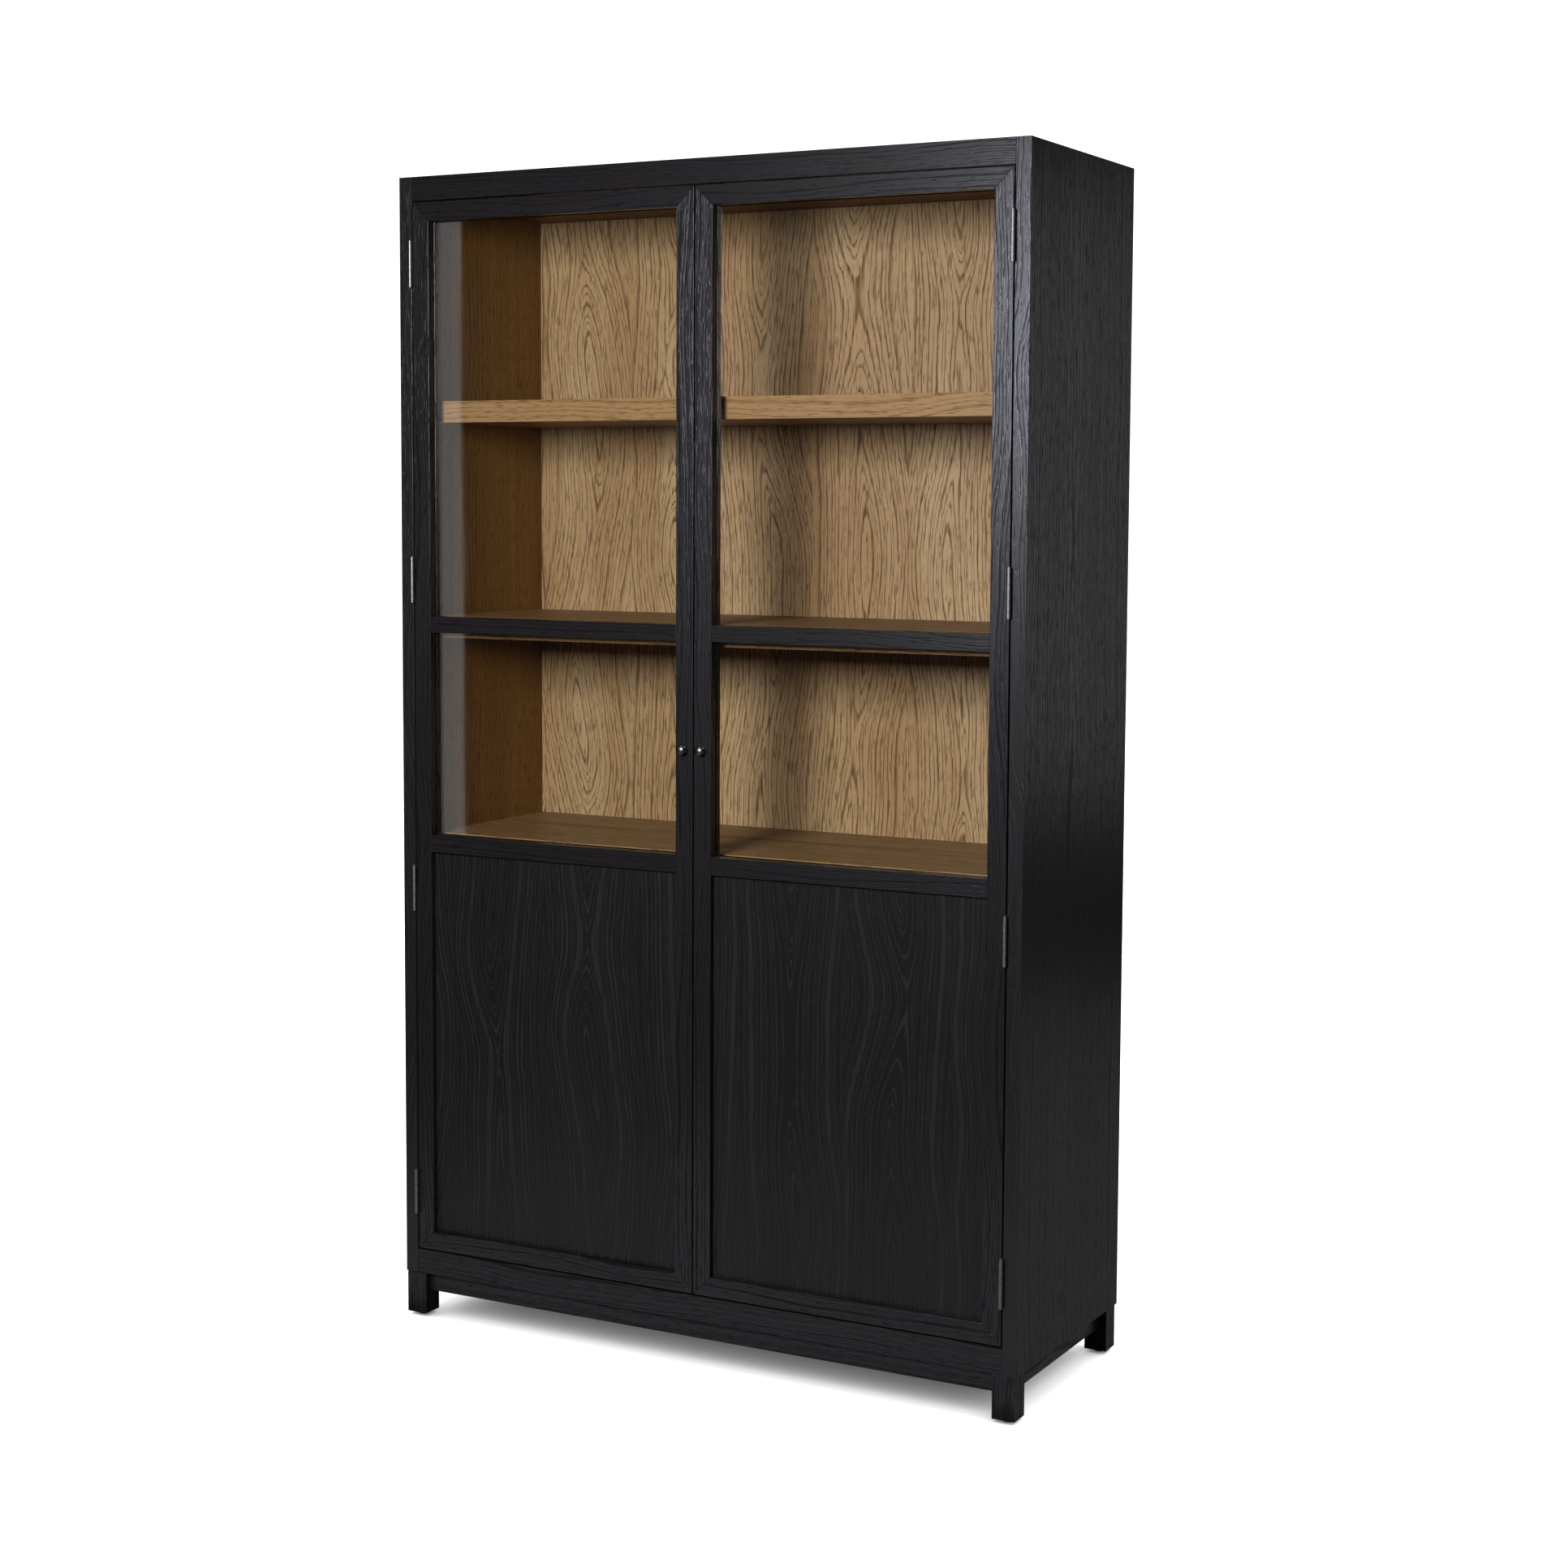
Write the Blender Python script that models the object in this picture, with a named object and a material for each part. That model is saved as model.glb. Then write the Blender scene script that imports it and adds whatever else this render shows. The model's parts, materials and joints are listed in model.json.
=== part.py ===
"""Tall two-door glazed cabinet: a thick-shelved case on four short legs, with two mitred framed doors.

Metres, +Z up. The cabinet's front looks along -Y. The origin is on the floor, under the middle of the
box that holds the whole cabinet, knobs included. Depths are measured back from the front face of the
case. A span is a (low, high) pair along one axis. side is -1 for the left half and 1 for the right.
"""

import math

import bmesh
import bpy
from mathutils import Vector

# ---------------------------------------------------------------- driving dimensions
WIDTH = 1.295
DEPTH = 0.479
HEIGHT = 2.200
GAP = 0.0003  # left between pieces that touch
CUT_PAST = 0.010  # how far a cutter runs on past the face that it opens

# case
SIDE_THICK = 0.0273
TOP_THICK = 0.0453
BOTTOM_THICK = 0.0472
BACK_THICK = 0.012
BACK_DEPTH = 0.4405  # front of the back panel
SHELF_THICK = 0.041
SHELF_DEPTH = 0.0555  # front edge of every shelf
SHELF_SIDE_PLAY = 0.0008  # an adjustable shelf is this much short at each end
SHELF_BACK_PLAY = 0.0010

# base
GLIDE_HIGH = 0.006
GLIDE_RADIUS = 0.011
GLIDE_RIM = 0.0021
GLIDE_SIDES = 20
LEG_TOP = 0.0865
LEG_WIDE = 0.0433
LEG_SIDE_INSET = 0.0026
LEG_BACK_INSET = 0.0033
APRON_INSET = 0.015  # behind the outer faces of the legs
APRON_THICK = 0.020
APRON_BOTTOM = 0.050

# heights inside
MID_SHELF_TOP = 1.3686
LOWER_SHELF_TOP = 0.9482
UPPER_SHELF_TOP = 1.7805
BASE_SHELF_TOP = 0.5400

# pin holes for the adjustable shelves
PIN_HOLE_RADIUS = 0.0025
PIN_HOLE_DEEP = 0.011
PIN_HOLE_SIDES = 10
PIN_PITCH = 0.067
PIN_BELOW_TOP = 0.0055  # a pin sits in a slot of the shelf, this far below the shelf's top
PIN_DEPTHS = (0.093, 0.400)
PIN_SLOT_WIDE = 0.008
PIN_SLOT_LONG = 0.012

# doors
DOOR_GAP = 0.003
DOOR_THICK = 0.033
FRAME_WIDE = 0.0355
MITRE_SETBACK = 0.00022
REBATE_WIDE = 0.008
GLASS_DEPTH = 0.016
GLASS_THICK = 0.004
PANEL_DEPTH = 0.012
PANEL_THICK = 0.018
BAR_TOP = 1.3695
BAR_HIGH = 0.0300
LOCK_RAIL_TOP = 0.9497
LOCK_RAIL_HIGH = 0.0327
TONGUE_HIGH = 0.014

# hinges
HINGE_CENTRES = (2.0366, 1.4397, 0.8458, 0.2490)
HINGE_HIGH = 0.0866
HINGE_SIDES = 16
KNUCKLES = 6
KNUCKLE_RADIUS = 0.0040
KNUCKLE_GAP = 0.0004
PIN_RADIUS = 0.0022
PIN_PLAY = 0.0002
PIN_TIP_HIGH = 0.0016
PIN_TIP_TAPER = 0.7  # the tip's radius, as a share of the pin's
PIN_TIP_SHOULDER = 0.6  # where the taper starts, as a share of the tip's height
HINGE_PROUD = 0.006  # the pin's centre, in front of the front face
LEAF_THICK = 0.002
LEAF_DEPTH = 0.026
LEAF_OFF_AXIS = 0.0002
LEAF_CLEARANCE = 0.0005

# knobs
KNOB_HEIGHT = 1.1430
KNOB_SIDES = 24
KNOB_FOOT_RADIUS = 0.0062
KNOB_NECK_RADIUS = 0.0036
KNOB_HEAD_RADIUS = 0.0088
KNOB_HEAD_CENTRE = 0.0138  # in front of the door
KNOB_HEAD_STEPS = 10
KNOB_HEAD_START = 0.14  # how much of the ball's half turn the neck hides
KNOB_TIP_RADIUS = 0.0006

# magnetic catch
CATCH_WIDE = 0.064
CATCH_DEEP = 0.015
CATCH_HIGH = 0.020
CATCH_CLEARANCE = 0.0030  # behind the closed doors
POLE_SPAN = (0.006, 0.026)  # across, from the middle
POLE_DROP = (0.015, 0.005)  # lower and upper edge, below the catch's top
POLE_PROUD = 0.001
POLE_DEEP = 0.005

# ---------------------------------------------------------------- places worked out from them
FRONT = (KNOB_HEAD_CENTRE + KNOB_HEAD_RADIUS - DEPTH) / 2
INNER_X = WIDTH / 2 - SIDE_THICK
CASE_BOTTOM = LEG_TOP + GAP
DECK = CASE_BOTTOM + BOTTOM_THICK
CEILING = HEIGHT - TOP_THICK
DOOR_BOTTOM = DECK + DOOR_GAP
DOOR_TOP = CEILING - DOOR_GAP
DOOR_NEAR = DOOR_GAP / 2
DOOR_FAR = INNER_X - DOOR_GAP
LIP_NEAR = DOOR_NEAR + FRAME_WIDE
LIP_FAR = DOOR_FAR - FRAME_WIDE
LIP_TOP = DOOR_TOP - FRAME_WIDE
LIP_BOTTOM = DOOR_BOTTOM + FRAME_WIDE
BAR_MIDDLE = BAR_TOP - BAR_HIGH / 2
LOCK_MIDDLE = LOCK_RAIL_TOP - LOCK_RAIL_HIGH / 2
REBATE_FIT = REBATE_WIDE - GAP  # how far a pane or a panel reaches into its rebate
AXIS_X = INNER_X - DOOR_GAP / 2
AXIS_Y = FRONT - HINGE_PROUD

# ---------------------------------------------------------------- colours
BLACK_OAK = (0.035, 0.034, 0.036)
BROWN_OAK = (0.36, 0.23, 0.12)
IRON = (0.10, 0.10, 0.10)
CLEAR = (0.90, 0.93, 0.92)
PALE_PLASTIC = (0.75, 0.74, 0.70)


# ---------------------------------------------------------------- places
def back(depth):
    """World Y of a depth measured back from the front face."""
    return FRONT + depth


def deep(near, far):
    """The span in Y between two depths."""
    return back(near), back(far)


def across(side, near, far):
    """The span in X between two distances from the middle plane, on one side."""
    low, high = sorted((side * near, side * far))
    return low, high


def corners(x, y, z):
    """The low and high corner of the box that three spans bound."""
    return Vector((x[0], y[0], z[0])), Vector((x[1], y[1], z[1]))


# ---------------------------------------------------------------- materials and objects
def make_material(name, colour, roughness, metallic=0.0, alpha=1.0):
    made = bpy.data.materials.new(name)
    made.use_nodes = True
    shader = made.node_tree.nodes["Principled BSDF"]
    shader.inputs["Base Color"].default_value = (*colour, 1.0)
    shader.inputs["Roughness"].default_value = roughness
    shader.inputs["Metallic"].default_value = metallic
    shader.inputs["Alpha"].default_value = alpha
    return made


def make_object(name, bm, place, material=None, parent=None):
    """An object whose mesh is about its own origin, put at `place` in the world."""
    bmesh.ops.recalc_face_normals(bm, faces=bm.faces)
    mesh = bpy.data.meshes.new(name)
    bm.to_mesh(mesh)
    bm.free()
    made = bpy.data.objects.new(name, mesh)
    bpy.context.collection.objects.link(made)
    if material:
        mesh.materials.append(material)
    made.location = Vector(place)
    if parent:
        made.parent = parent
        made.location -= parent.location
    return made


def add_box(bm, low, high):
    """One closed box between two corners, added to bm."""
    made = bmesh.ops.create_cube(bm, size=1.0)["verts"]
    bmesh.ops.scale(bm, verts=made, vec=high - low)
    bmesh.ops.translate(bm, verts=made, vec=(low + high) / 2)


def board(name, x, y, z, material, parent=None):
    """A board that fills three world spans, with its origin in its middle."""
    low, high = corners(x, y, z)
    centre = (low + high) / 2
    bm = bmesh.new()
    add_box(bm, low - centre, high - centre)
    return make_object(name, bm, centre, material, parent)


def prism(name, outline, along, span, place, material, parent=None):
    """A closed outline pushed along one axis over a span. Its points hold the other two axes."""
    start, end = span
    point = {
        "x": lambda first, second: (start, first, second),
        "y": lambda first, second: (first, start, second),
    }[along]
    bm = bmesh.new()
    face = bm.faces.new([bm.verts.new(point(*corner)) for corner in outline])
    pushed = bmesh.ops.extrude_face_region(bm, geom=[face])["geom"]
    far_end = [item for item in pushed if isinstance(item, bmesh.types.BMVert)]
    step = Vector([end - start if axis == along else 0.0 for axis in "xyz"])
    bmesh.ops.translate(bm, verts=far_end, vec=step)
    return make_object(name, bm, place, material, parent)


def add_turned(bm, profile, axis, sides, centre=(0, 0, 0)):
    """A round solid, added to bm: profile holds (radius, height) from one end of the axis to the other."""
    turn = {
        "z": lambda r, angle, h: (r * math.cos(angle), r * math.sin(angle), h),
        "y": lambda r, angle, h: (r * math.cos(angle), h, r * math.sin(angle)),
        "x": lambda r, angle, h: (h, r * math.cos(angle), r * math.sin(angle)),
    }[axis]
    angles = [2 * math.pi * (step + 0.5) / sides for step in range(sides)]
    rings = []
    for radius, height in profile:
        ring = [Vector(turn(radius, angle, height)) + Vector(centre) for angle in angles]
        rings.append([bm.verts.new(point) for point in ring])
    for lower, upper in zip(rings, rings[1:]):
        for step in range(sides):
            after = (step + 1) % sides
            bm.faces.new((lower[step], lower[after], upper[after], upper[step]))
    bm.faces.new(rings[0])
    bm.faces.new(rings[-1])


def guide(name, bm, place, parent=None):
    """A shape that only cuts or joins another: it isn't a piece."""
    made = make_object(name, bm, place, None, parent)
    made.hide_render = True
    made.display_type = "WIRE"
    return made


def combine(target, other, operation):
    step = target.modifiers.new(other.name, "BOOLEAN")
    step.operation = operation
    step.solver = "EXACT"
    step.object = other


def cut_boxes(target, name, boxes, parent=None):
    """Cuts one or more boxes, each given by three world spans, out of target."""
    bm = bmesh.new()
    for x, y, z in boxes:
        add_box(bm, *corners(x, y, z))
    combine(target, guide(name, bm, (0, 0, 0), parent), "DIFFERENCE")


def shade_round(target, sharp_degrees=40):
    target.data.shade_smooth()
    target.data.set_sharp_from_angle(angle=math.radians(sharp_degrees))


# ---------------------------------------------------------------- case
def hinge_mortises(side, near, far):
    """The shallow seats that take the hinge leaves, as boxes from x = near to far on one side."""
    half = HINGE_HIGH / 2 + GAP
    depths = deep(-CUT_PAST, LEAF_DEPTH + GAP)
    return [(across(side, near, far), depths, (middle - half, middle + half)) for middle in HINGE_CENTRES]


def pin_heights():
    """Three rows for each adjustable shelf, the middle one in use."""
    in_use = [top - PIN_BELOW_TOP for top in (UPPER_SHELF_TOP, BASE_SHELF_TOP)]
    return [height + row * PIN_PITCH for height in in_use for row in (-1, 0, 1)]


def side_panel(side, word, material):
    name = f"side_panel_{word}"
    panel = board(name, across(side, INNER_X, WIDTH / 2), deep(0, DEPTH), (CASE_BOTTOM, HEIGHT), material)
    seat_far = AXIS_X + LEAF_OFF_AXIS + LEAF_THICK + GAP
    cut_boxes(panel, name + "_mortises", hinge_mortises(side, INNER_X - CUT_PAST, seat_far))
    holes = bmesh.new()
    ends = across(side, INNER_X - CUT_PAST, INNER_X + PIN_HOLE_DEEP)
    profile = [(PIN_HOLE_RADIUS, end) for end in ends]
    for depth in PIN_DEPTHS:
        for height in pin_heights():
            add_turned(holes, profile, "x", PIN_HOLE_SIDES, (0, back(depth), height))
    combine(panel, guide(name + "_pin_holes", holes, (0, 0, 0)), "DIFFERENCE")


def adjustable_shelf(name, top, material):
    """A thick shelf that drops over four pins: a slot open below, near each corner, takes each pin."""
    half = INNER_X - SHELF_SIDE_PLAY
    depths = deep(SHELF_DEPTH, BACK_DEPTH - SHELF_BACK_PLAY)
    shelf = board(name, (-half, half), depths, (top - SHELF_THICK, top), material)
    heights = (top - SHELF_THICK - CUT_PAST, top - PIN_BELOW_TOP + PIN_HOLE_RADIUS)
    slots = []
    for side in (-1, 1):
        for depth in PIN_DEPTHS:
            width = deep(depth - PIN_SLOT_WIDE / 2, depth + PIN_SLOT_WIDE / 2)
            slots.append((across(side, half - PIN_SLOT_LONG, half + CUT_PAST), width, heights))
    cut_boxes(shelf, name + "_slots", slots)


def build_case(black, brown):
    for side, word in ((-1, "left"), (1, "right")):
        side_panel(side, word, black)
    half = INNER_X - GAP
    inside = (-half, half)
    board("top_panel", inside, deep(0, DEPTH), (CEILING, HEIGHT), black)
    board("bottom_panel", inside, deep(0, DEPTH), (CASE_BOTTOM, DECK), black)
    back_depths = deep(BACK_DEPTH, BACK_DEPTH + BACK_THICK)
    board("back_panel", inside, back_depths, (DECK + GAP, CEILING - GAP), brown)
    shelf_depths = deep(SHELF_DEPTH, BACK_DEPTH - GAP)
    for name, top in (("mid_shelf_fixed", MID_SHELF_TOP), ("lower_shelf_fixed", LOWER_SHELF_TOP)):
        board(name, inside, shelf_depths, (top - SHELF_THICK, top), brown)
    adjustable_shelf("upper_shelf_adjustable", UPPER_SHELF_TOP, brown)
    adjustable_shelf("base_shelf_adjustable", BASE_SHELF_TOP, brown)


# ---------------------------------------------------------------- base
def build_glide(name, centre, plastic):
    """A round pad under a leg, with its lower edge rounded off."""
    profile = [(GLIDE_RADIUS - GLIDE_RIM, 0), (GLIDE_RADIUS, GLIDE_RIM), (GLIDE_RADIUS, GLIDE_HIGH)]
    bm = bmesh.new()
    add_turned(bm, profile, "z", GLIDE_SIDES)
    shade_round(make_object(name, bm, centre, plastic))


def build_base(black, plastic):
    leg_outer = WIDTH / 2 - LEG_SIDE_INSET
    leg_inner = leg_outer - LEG_WIDE
    rear = DEPTH - LEG_BACK_INSET
    rows = {"front": (0.0, LEG_WIDE), "rear": (rear - LEG_WIDE, rear)}
    for row, (near, far) in rows.items():
        for side, word in ((-1, "left"), (1, "right")):
            x = across(side, leg_inner, leg_outer)
            board(f"leg_{row}_{word}", x, deep(near, far), (GLIDE_HIGH + GAP, LEG_TOP), black)
            build_glide(f"glide_{row}_{word}", (sum(x) / 2, back((near + far) / 2), 0), plastic)
    reach = leg_inner - GAP
    heights = (APRON_BOTTOM, CASE_BOTTOM - GAP)
    apron_rear = rear - APRON_INSET
    board("apron_front", (-reach, reach), deep(APRON_INSET, APRON_INSET + APRON_THICK), heights, black)
    board("apron_rear", (-reach, reach), deep(apron_rear - APRON_THICK, apron_rear), heights, black)
    between_legs = deep(rows["front"][1] + GAP, rows["rear"][0] - GAP)
    outer = leg_outer - APRON_INSET
    for side, word in ((-1, "left"), (1, "right")):
        board(f"apron_{word}", across(side, outer - APRON_THICK, outer), between_legs, heights, black)


# ---------------------------------------------------------------- door frames
def mitred_stile(name, side, outer, inner, black, parent):
    """An upright of a door frame, with 45 degree ends. Its edges are at x = outer and inner, on one side."""
    low, high = DOOR_BOTTOM + MITRE_SETBACK, DOOR_TOP - MITRE_SETBACK
    outline = [
        (side * outer, low),
        (side * outer, high),
        (side * inner, high - FRAME_WIDE),
        (side * inner, low + FRAME_WIDE),
    ]
    piece = prism(name, outline, "y", deep(0, DOOR_THICK), (0, 0, 0), black, parent)
    outward = math.copysign(1.0, outer - inner)
    x = across(side, inner - outward * CUT_PAST, inner + outward * REBATE_WIDE)
    beside_glass = (x, deep(GLASS_DEPTH, DOOR_THICK + CUT_PAST), (LOCK_MIDDLE, LIP_TOP + REBATE_WIDE))
    beside_panel = (x, deep(PANEL_DEPTH, DOOR_THICK + CUT_PAST), (LIP_BOTTOM - REBATE_WIDE, LOCK_MIDDLE))
    cut_boxes(piece, name + "_glass_rebate", [beside_glass], parent)
    cut_boxes(piece, name + "_panel_rebate", [beside_panel], parent)
    return piece


def mitred_rail(name, side, outer, inner, rebate_depth, black, parent):
    """A top or bottom member of a door frame, with 45 degree ends; outer and inner are the z of its edges."""
    near, far = DOOR_NEAR + MITRE_SETBACK, DOOR_FAR - MITRE_SETBACK
    outline = [
        (side * near, outer),
        (side * far, outer),
        (side * (far - FRAME_WIDE), inner),
        (side * (near + FRAME_WIDE), inner),
    ]
    piece = prism(name, outline, "y", deep(0, DOOR_THICK), (0, 0, 0), black, parent)
    outward = math.copysign(1.0, outer - inner)
    z = sorted((inner - outward * CUT_PAST, inner + outward * REBATE_WIDE))
    x = across(side, LIP_NEAR - REBATE_WIDE, LIP_FAR + REBATE_WIDE)
    cut_boxes(piece, name + "_rebate", [(x, deep(rebate_depth, DOOR_THICK + CUT_PAST), z)], parent)


def cross_bar(name, side, top, high, lip_depths, rear_depth, black, parent):
    """A bar between the stiles, with a stub tenon at each end that reaches into their rebates.

    lip_depths are the depths of the lips above and below its tongue. The tongue runs back to rear_depth.
    """
    above, below = (back(depth) for depth in lip_depths)
    rear = back(rear_depth)
    bottom, middle = top - high, top - high / 2
    tongue_low, tongue_high = middle - TONGUE_HIGH / 2, middle + TONGUE_HIGH / 2
    outline = [
        (back(0), top),
        (back(0), bottom),
        (below, bottom),
        (below, tongue_low),
        (rear, tongue_low),
        (rear, tongue_high),
        (above, tongue_high),
        (above, top),
    ]
    low_x, high_x = across(side, LIP_NEAR + GAP, LIP_FAR - GAP)
    piece = prism(name, outline, "x", (low_x, high_x), (0, 0, 0), black, parent)
    reach = REBATE_WIDE - 2 * GAP
    first = back(max(lip_depths) + GAP)
    tenon = bmesh.new()
    add_box(tenon, *corners((low_x - reach, high_x + reach), (first, rear), (tongue_low, tongue_high)))
    combine(piece, guide(name + "_tenon", tenon, (0, 0, 0), parent), "UNION")


def retaining_frame(name, side, black, parent):
    """The ladder that holds both panes in their rebates from behind, with edges in line with the lips."""
    bottom = LOCK_MIDDLE + TONGUE_HIGH / 2 + GAP
    x = across(side, LIP_NEAR - REBATE_FIT, LIP_FAR + REBATE_FIT)
    depths = deep(GLASS_DEPTH + GLASS_THICK + 2 * GAP, DOOR_THICK)
    piece = board(name, x, depths, (bottom, LIP_TOP + REBATE_FIT), black, parent)
    opening = across(side, LIP_NEAR, LIP_FAR)
    through = deep(0, DOOR_THICK + CUT_PAST)
    windows = [(BAR_TOP, LIP_TOP), (LOCK_RAIL_TOP, BAR_TOP - BAR_HIGH)]
    cut_boxes(piece, name + "_windows", [(opening, through, z) for z in windows], parent)


def build_knob(name, x, metal, parent):
    """A turned knob: a foot, a waisted neck and a ball head."""
    profile = [
        (KNOB_FOOT_RADIUS, GAP),
        (KNOB_FOOT_RADIUS, 0.0014),
        (0.0048, 0.0022),
        (KNOB_NECK_RADIUS, 0.0034),
        (KNOB_NECK_RADIUS, 0.0050),
    ]
    for step in range(1, KNOB_HEAD_STEPS):
        angle = math.pi * (KNOB_HEAD_START + (1 - KNOB_HEAD_START) * step / KNOB_HEAD_STEPS)
        radius = KNOB_HEAD_RADIUS * math.sin(angle)
        profile.append((radius, KNOB_HEAD_CENTRE - KNOB_HEAD_RADIUS * math.cos(angle)))
    profile.append((KNOB_TIP_RADIUS, KNOB_HEAD_CENTRE + KNOB_HEAD_RADIUS))
    bm = bmesh.new()
    add_turned(bm, [(radius, -proud) for radius, proud in profile], "y", KNOB_SIDES)
    shade_round(make_object(name, bm, (x, back(0), KNOB_HEIGHT), metal, parent))


def build_door(side, word, black, glass, metal):
    """One framed door and what it carries, hung on an empty that stands on its hinge axis."""
    hang = bpy.data.objects.new(f"door_{word}_axis", None)
    bpy.context.collection.objects.link(hang)
    hang.location = (side * AXIS_X, AXIS_Y, DOOR_BOTTOM)

    mitred_stile(f"meeting_stile_{word}", side, DOOR_NEAR, LIP_NEAR, black, hang)
    hinge_stile = mitred_stile(f"hinge_stile_{word}", side, DOOR_FAR, LIP_FAR, black, hang)
    seat_near = AXIS_X - LEAF_OFF_AXIS - LEAF_THICK - GAP
    seats = hinge_mortises(side, seat_near, DOOR_FAR + CUT_PAST)
    cut_boxes(hinge_stile, f"hinge_stile_{word}_mortises", seats, hang)
    mitred_rail(f"door_top_rail_{word}", side, DOOR_TOP, LIP_TOP, GLASS_DEPTH, black, hang)
    mitred_rail(f"door_bottom_rail_{word}", side, DOOR_BOTTOM, LIP_BOTTOM, PANEL_DEPTH, black, hang)
    bar_lips, bar_rear = (GLASS_DEPTH, GLASS_DEPTH), GLASS_DEPTH + GLASS_THICK + GAP
    cross_bar(f"glazing_bar_{word}", side, BAR_TOP, BAR_HIGH, bar_lips, bar_rear, black, hang)
    lock_lips = (GLASS_DEPTH, PANEL_DEPTH)
    cross_bar(f"lock_rail_{word}", side, LOCK_RAIL_TOP, LOCK_RAIL_HIGH, lock_lips, DOOR_THICK, black, hang)

    in_rebates = across(side, LIP_NEAR - REBATE_FIT, LIP_FAR + REBATE_FIT)
    past_tongue = TONGUE_HIGH / 2 + GAP
    glass_depths = deep(GLASS_DEPTH + GAP, GLASS_DEPTH + GAP + GLASS_THICK)
    panes = {
        "upper": (BAR_MIDDLE + past_tongue, LIP_TOP + REBATE_FIT),
        "lower": (LOCK_MIDDLE + past_tongue, BAR_MIDDLE - past_tongue),
    }
    for place, heights in panes.items():
        board(f"glass_{place}_{word}", in_rebates, glass_depths, heights, glass, hang)
    retaining_frame(f"retaining_frame_{word}", side, black, hang)
    panel_depths = deep(PANEL_DEPTH + GAP, PANEL_DEPTH + GAP + PANEL_THICK)
    panel_heights = (LIP_BOTTOM - REBATE_FIT, LOCK_MIDDLE - past_tongue)
    board(f"door_panel_{word}", in_rebates, panel_depths, panel_heights, black, hang)
    build_knob(f"knob_{word}", side * (DOOR_NEAR + LIP_NEAR) / 2, metal, hang)
    for number, height in enumerate(HINGE_CENTRES, 1):
        build_hinge(side, f"{word}_{number}", height, metal, hang)


# ---------------------------------------------------------------- hinges
def knuckle_spans(owner):
    """The span of each knuckle on one leaf, about the hinge's middle. The case leaf has the top one."""
    pitch = HINGE_HIGH / KNUCKLES
    first = 0 if owner == "case" else 1
    tops = [HINGE_HIGH / 2 - number * pitch for number in range(first, KNUCKLES, 2)]
    return [(top - pitch + KNUCKLE_GAP / 2, top - KNUCKLE_GAP / 2) for top in tops]


def leaf_plate(name, side, way, owner, place, metal, parent):
    """A leaf as a comb: its teeth reach the pin's centre, and it stays clear of the other leaf's knuckles."""
    half = HINGE_HIGH / 2
    clear = KNUCKLE_RADIUS + LEAF_CLEARANCE
    rear = LEAF_DEPTH + HINGE_PROUD
    outline = [(rear, -half), (rear, half)]
    if owner == "door":
        outline.append((clear, half))
    for low, high in knuckle_spans(owner):
        if high < half - KNUCKLE_GAP:
            outline.append((clear, high))
        outline += [(0.0, high), (0.0, low)]
        if low > KNUCKLE_GAP - half:
            outline.append((clear, low))
    if owner == "case":
        outline.append((clear, -half))
    thickness = across(side * way, LEAF_OFF_AXIS, LEAF_OFF_AXIS + LEAF_THICK)
    return prism(name, outline, "x", thickness, place, metal, parent)


def pin_profile():
    """The pin and the case leaf's knuckles on it, from the lower tip to the upper one."""
    half = HINGE_HIGH / 2
    shoulder = half + PIN_TIP_HIGH * PIN_TIP_SHOULDER
    tip = (PIN_RADIUS * PIN_TIP_TAPER, half + PIN_TIP_HIGH)
    profile = [tip, (PIN_RADIUS, shoulder)]
    for low, high in knuckle_spans("case"):
        profile += [(PIN_RADIUS, high), (KNUCKLE_RADIUS, high), (KNUCKLE_RADIUS, low), (PIN_RADIUS, low)]
    profile += [(PIN_RADIUS, -shoulder), (tip[0], -tip[1])]
    return profile[::-1]


def build_hinge(side, tag, height, metal, door):
    """A butt hinge: the case leaf carries the pin, and the door leaf's bored knuckles turn on it."""
    place = Vector((side * AXIS_X, AXIS_Y, height))
    case_leaf = leaf_plate(f"hinge_case_leaf_{tag}", side, 1, "case", place, metal, None)
    pin = bmesh.new()
    add_turned(pin, pin_profile(), "z", HINGE_SIDES)
    combine(case_leaf, guide(f"hinge_pin_{tag}", pin, place), "UNION")

    door_leaf = leaf_plate(f"hinge_door_leaf_{tag}", side, -1, "door", place, metal, door)
    knuckles = bmesh.new()
    for low, high in knuckle_spans("door"):
        add_turned(knuckles, [(KNUCKLE_RADIUS, low), (KNUCKLE_RADIUS, high)], "z", HINGE_SIDES)
    combine(door_leaf, guide(f"hinge_knuckles_{tag}", knuckles, place, door), "UNION")
    past = HINGE_HIGH / 2 + CUT_PAST
    bore = bmesh.new()
    add_turned(bore, [(PIN_RADIUS + PIN_PLAY, -past), (PIN_RADIUS + PIN_PLAY, past)], "z", HINGE_SIDES)
    combine(door_leaf, guide(f"hinge_bore_{tag}", bore, place, door), "DIFFERENCE")
    for leaf in (case_leaf, door_leaf):
        shade_round(leaf)


# ---------------------------------------------------------------- catch
def build_catch(metal):
    """A twin magnetic catch under the ceiling, with one pole piece for each door."""
    front = DOOR_THICK + CATCH_CLEARANCE
    top = CEILING - GAP
    x = (-CATCH_WIDE / 2, CATCH_WIDE / 2)
    catch = board("magnetic_catch", x, deep(front, front + CATCH_DEEP), (top - CATCH_HIGH, top), metal)
    depths = deep(front - POLE_PROUD, front - POLE_PROUD + POLE_DEEP)
    heights = (top - POLE_DROP[0], top - POLE_DROP[1])
    poles = bmesh.new()
    for side in (-1, 1):
        add_box(poles, *corners(across(side, *POLE_SPAN), depths, heights))
    combine(catch, guide("magnetic_catch_poles", poles, (0, 0, 0)), "UNION")


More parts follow.
